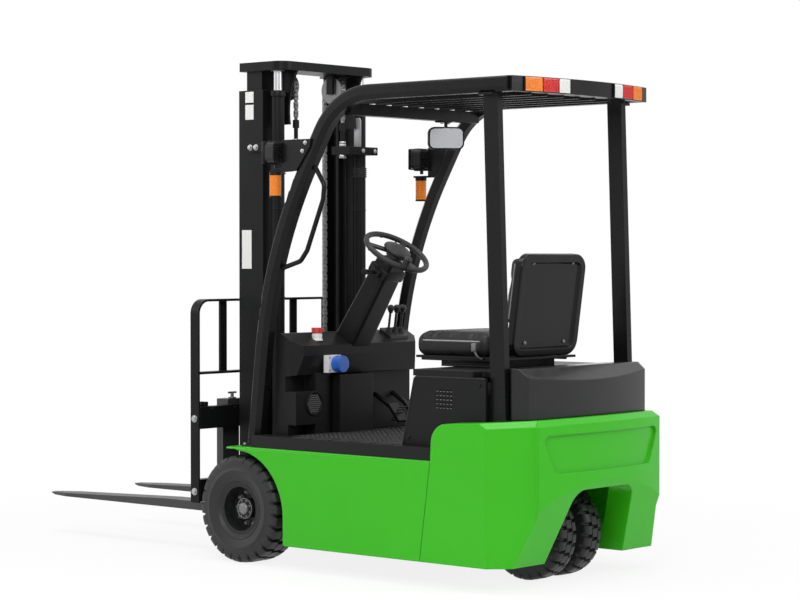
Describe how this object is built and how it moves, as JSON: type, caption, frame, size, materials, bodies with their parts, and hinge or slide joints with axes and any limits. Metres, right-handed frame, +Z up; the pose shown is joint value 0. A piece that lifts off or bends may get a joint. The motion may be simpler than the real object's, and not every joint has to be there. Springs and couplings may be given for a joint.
{
  "type": "three-wheel electric counterbalance forklift truck",
  "caption": "Small electric counterbalance forklift with twin steered rear wheels, two-stage lifting mast, forks with load backrest, overhead guard and operator's seat.",
  "frame": {"origin": "on the floor under the middle of the truck's overall box", "axes": "+X towards the fork tips, +Y to the operator's left, +Z up"},
  "size_m": [3.011, 1.074, 2.13],
  "materials": {
    "green_paint": "gloss green machine paint",
    "black_paint": "satin black machine paint",
    "mast_paint": "satin black mast paint",
    "dark_steel": "dark painted casting",
    "fork_steel": "black fork paint, worn on the blade",
    "tyre_rubber": "black solid tyre",
    "rim_paint": "dark grey rim paint",
    "mat_rubber": "black ribbed rubber",
    "black_plastic": "black moulded plastic, fine grain",
    "grip_plastic": "soft black grip",
    "seat_vinyl": "black vinyl",
    "chrome_rod": "hard chrome",
    "chain_steel": "oiled leaf chain",
    "battery_case": "dark grey case",
    "amber_lens": "clear amber lens",
    "red_lens": "clear red lens",
    "white_lens": "clear white lens",
    "lamp_black": "black finned housing",
    "mirror_glass": "mirror glass",
    "socket_white": "white socket",
    "socket_blue": "blue socket cap",
    "stop_red": "red push button"
  },
  "bodies": {
    "chassis": {"main_frame": "black_paint", "drive_axle": "dark_steel", "side_panel_left": "green_paint", "side_panel_right": "green_paint", "counterweight": "green_paint", "step_sills": "black_plastic", "floor_mat": "mat_rubber", "dash_cowl": "black_plastic", "steering_column": "black_plastic", "charge_socket_plate": "socket_white", "charge_socket_cap": "socket_blue", "emergency_stop": "stop_red", "control_levers": "grip_plastic", "pedals": "black_paint", "guard_side_left": "black_paint", "guard_side_right": "black_paint", "guard_posts": "black_paint", "guard_beams": "black_paint", "guard_roof_bars": "black_paint", "tail_lenses_amber": "amber_lens", "tail_lenses_red": "red_lens", "tail_lenses_white": "white_lens", "headlamp_brackets": "black_paint", "headlamp_housings": "lamp_black", "headlamp_lenses": "white_lens", "turn_signals": "amber_lens", "grab_handle": "black_paint", "mirror_shell": "black_plastic", "mirror_glass": "mirror_glass", "battery": "battery_case", "battery_side_covers": "black_plastic", "battery_front_cover": "black_plastic", "rear_cover": "black_plastic"},
    "battery_hood": {"hood_lid": "black_plastic", "seat_base": "black_paint", "seat_cushion": "seat_vinyl", "seat_back_pad": "seat_vinyl", "seat_back_shell": "black_plastic"},
    "front_wheel_left": {"front_tyre_left": "tyre_rubber", "front_rim_left": "rim_paint"},
    "front_wheel_right": {"front_tyre_right": "tyre_rubber", "front_rim_right": "rim_paint"},
    "steer_yoke": {"steer_yoke": "dark_steel"},
    "steer_wheels": {"steer_tyres": "tyre_rubber", "steer_rims": "rim_paint"},
    "steering_wheel": {"steering_wheel": "grip_plastic"},
    "outer_mast": {"outer_mast": "mast_paint", "lift_barrels": "mast_paint", "anchor_chains": "chain_steel"},
    "inner_mast": {"inner_mast": "mast_paint", "lift_rods": "chrome_rod", "chain_sheaves": "dark_steel", "carriage_chains": "chain_steel"},
    "carriage": {"carriage": "mast_paint", "fork_left": "fork_steel", "fork_right": "fork_steel", "load_backrest": "mast_paint"},
    "tilt_barrels": {"tilt_barrels": "black_paint"},
    "tilt_rods": {"tilt_rods": "chrome_rod"}
  },
  "joints": [
    {"name": "left_wheel_roll", "type": "hinge", "parent": "chassis", "child": "front_wheel_left", "pos_m": [0.0395, 0.438, 0.228], "axis": [0, 1, 0], "continuous": true},
    {"name": "right_wheel_roll", "type": "hinge", "parent": "chassis", "child": "front_wheel_right", "pos_m": [0.0395, -0.438, 0.228], "axis": [0, 1, 0], "continuous": true},
    {"name": "steer_turn", "type": "hinge", "parent": "chassis", "child": "steer_yoke", "pos_m": [-1.1905, 0, 0.3], "axis": [0, 0, 1], "range_deg": [-90, 90]},
    {"name": "steer_wheel_roll", "type": "hinge", "parent": "steer_yoke", "child": "steer_wheels", "pos_m": [-1.1905, 0, 0.19], "axis": [0, 1, 0], "continuous": true},
    {"name": "steering_wheel_turn", "type": "hinge", "parent": "chassis", "child": "steering_wheel", "pos_m": [-0.39836, 0, 1.31328], "axis": [-0.5519, 0, 0.8339], "range_deg": [-900, 900]},
    {"name": "mast_tilt", "type": "hinge", "parent": "chassis", "child": "outer_mast", "pos_m": [0.0395, 0, 0.228], "axis": [0, 1, 0], "range_deg": [-6, 5]},
    {"name": "mast_lift", "type": "slide", "parent": "outer_mast", "child": "inner_mast", "axis": [0, 0, 1], "range_m": [-0.075, 1.4], "deforming": ["anchor_chains"]},
    {"name": "carriage_lift", "type": "slide", "parent": "inner_mast", "child": "carriage", "axis": [0, 0, 1], "range_m": [-0.075, 1.4], "deforming": ["carriage_chains"]},
    {"name": "hood_lift", "type": "hinge", "parent": "chassis", "child": "battery_hood", "pos_m": [-1.2915, 0, 0.856], "axis": [0, -1, 0], "range_deg": [0, 55]},
    {"name": "tilt_barrel_swing", "type": "hinge", "parent": "chassis", "child": "tilt_barrels", "pos_m": [-0.4405, 0, 0.4], "axis": [0, 1, 0], "range_deg": [-1, 1]},
    {"name": "tilt_rod_slide", "type": "slide", "parent": "tilt_barrels", "child": "tilt_rods", "axis": [0.9967, 0, 0.081], "range_m": [-0.03, 0.03]}
  ],
  "couplings": [
    {"joint": "steering_wheel_turn", "follows": "steer_turn", "ratio": -9.9},
    {"joint": "carriage_lift", "follows": "mast_lift", "ratio": 1},
    {"joint": "tilt_barrel_swing", "follows": "mast_tilt", "ratio": 0.058},
    {"joint": "tilt_rod_slide", "follows": "mast_tilt", "m_per_rad": 0.2102}
  ]
}
